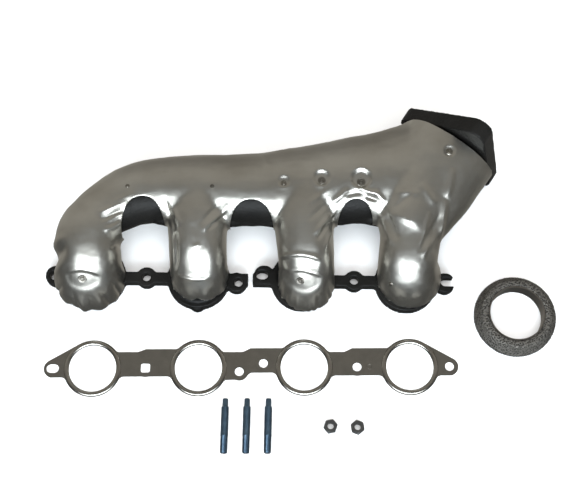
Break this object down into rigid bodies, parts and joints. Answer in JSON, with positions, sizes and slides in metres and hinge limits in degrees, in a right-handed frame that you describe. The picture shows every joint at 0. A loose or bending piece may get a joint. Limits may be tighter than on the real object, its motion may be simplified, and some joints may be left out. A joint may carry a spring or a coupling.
{
  "type": "exhaust manifold",
  "caption": "Cast log-type exhaust manifold with a pressed heat shield, shown with its port gasket, outlet seal ring, studs and nuts laid out beside it.",
  "frame": {"origin": "middle of the port line on the port face", "axes": "+X along the ports towards the outlet end, +Y from the ports towards the log, +Z out of the port face; it stands on the port face"},
  "size_m": [0.5489, 0.376, 0.1204],
  "materials": {
    "casting": "rough as cast, dark oxide",
    "shield_sheet": "pressed aluminised sheet, brownish satin",
    "insulation": "pressed mineral fibre mat",
    "rivet": "plain",
    "gasket_steel": "bright stamped strip",
    "gasket_coating": "thin satin coating",
    "wire_mesh": "pressed knitted wire with graphite",
    "liner_steel": "satin",
    "blue_zinc": "blue zinc plate",
    "grey_zinc": "grey zinc plate"
  },
  "bodies": {
    "manifold": {"manifold_casting": "casting", "shield_inner_skin": "shield_sheet", "shield_mat": "insulation", "shield_outer_skin": "shield_sheet", "shield_rivet_1": "rivet", "shield_rivet_2": "rivet", "shield_rivet_3": "rivet", "shield_rivet_4": "rivet", "shield_rivet_5": "rivet", "shield_rivet_6": "rivet", "shield_rivet_7": "rivet", "shield_rivet_8": "rivet", "shield_rivet_9": "rivet"},
    "port_gasket": {"gasket_core": "gasket_steel", "gasket_face": "gasket_coating", "gasket_fire_ring_1": "gasket_steel", "gasket_fire_ring_2": "gasket_steel", "gasket_fire_ring_3": "gasket_steel", "gasket_fire_ring_4": "gasket_steel"},
    "outlet_seal": {"seal_mesh_ring": "wire_mesh", "seal_liner": "liner_steel"},
    "stud_1": {"outlet_stud_1": "blue_zinc"},
    "stud_2": {"outlet_stud_2": "blue_zinc"},
    "stud_3": {"outlet_stud_3": "blue_zinc"},
    "nut_1": {"outlet_nut_1": "grey_zinc"},
    "nut_2": {"outlet_nut_2": "grey_zinc"}
  },
  "joints": [
    {"name": "port_gasket_lift", "type": "slide", "parent": "manifold", "child": "port_gasket", "axis": [0, 0, 1], "range_m": [0, 0.15]},
    {"name": "outlet_seal_lift", "type": "slide", "parent": "manifold", "child": "outlet_seal", "axis": [0, 0, 1], "range_m": [0, 0.15]},
    {"name": "stud_1_lift", "type": "slide", "parent": "manifold", "child": "stud_1", "axis": [0, 0, 1], "range_m": [0, 0.15]},
    {"name": "stud_2_lift", "type": "slide", "parent": "manifold", "child": "stud_2", "axis": [0, 0, 1], "range_m": [0, 0.15]},
    {"name": "stud_3_lift", "type": "slide", "parent": "manifold", "child": "stud_3", "axis": [0, 0, 1], "range_m": [0, 0.15]},
    {"name": "nut_1_lift", "type": "slide", "parent": "manifold", "child": "nut_1", "axis": [0, 0, 1], "range_m": [0, 0.15]},
    {"name": "nut_2_lift", "type": "slide", "parent": "manifold", "child": "nut_2", "axis": [0, 0, 1], "range_m": [0, 0.15]}
  ]
}
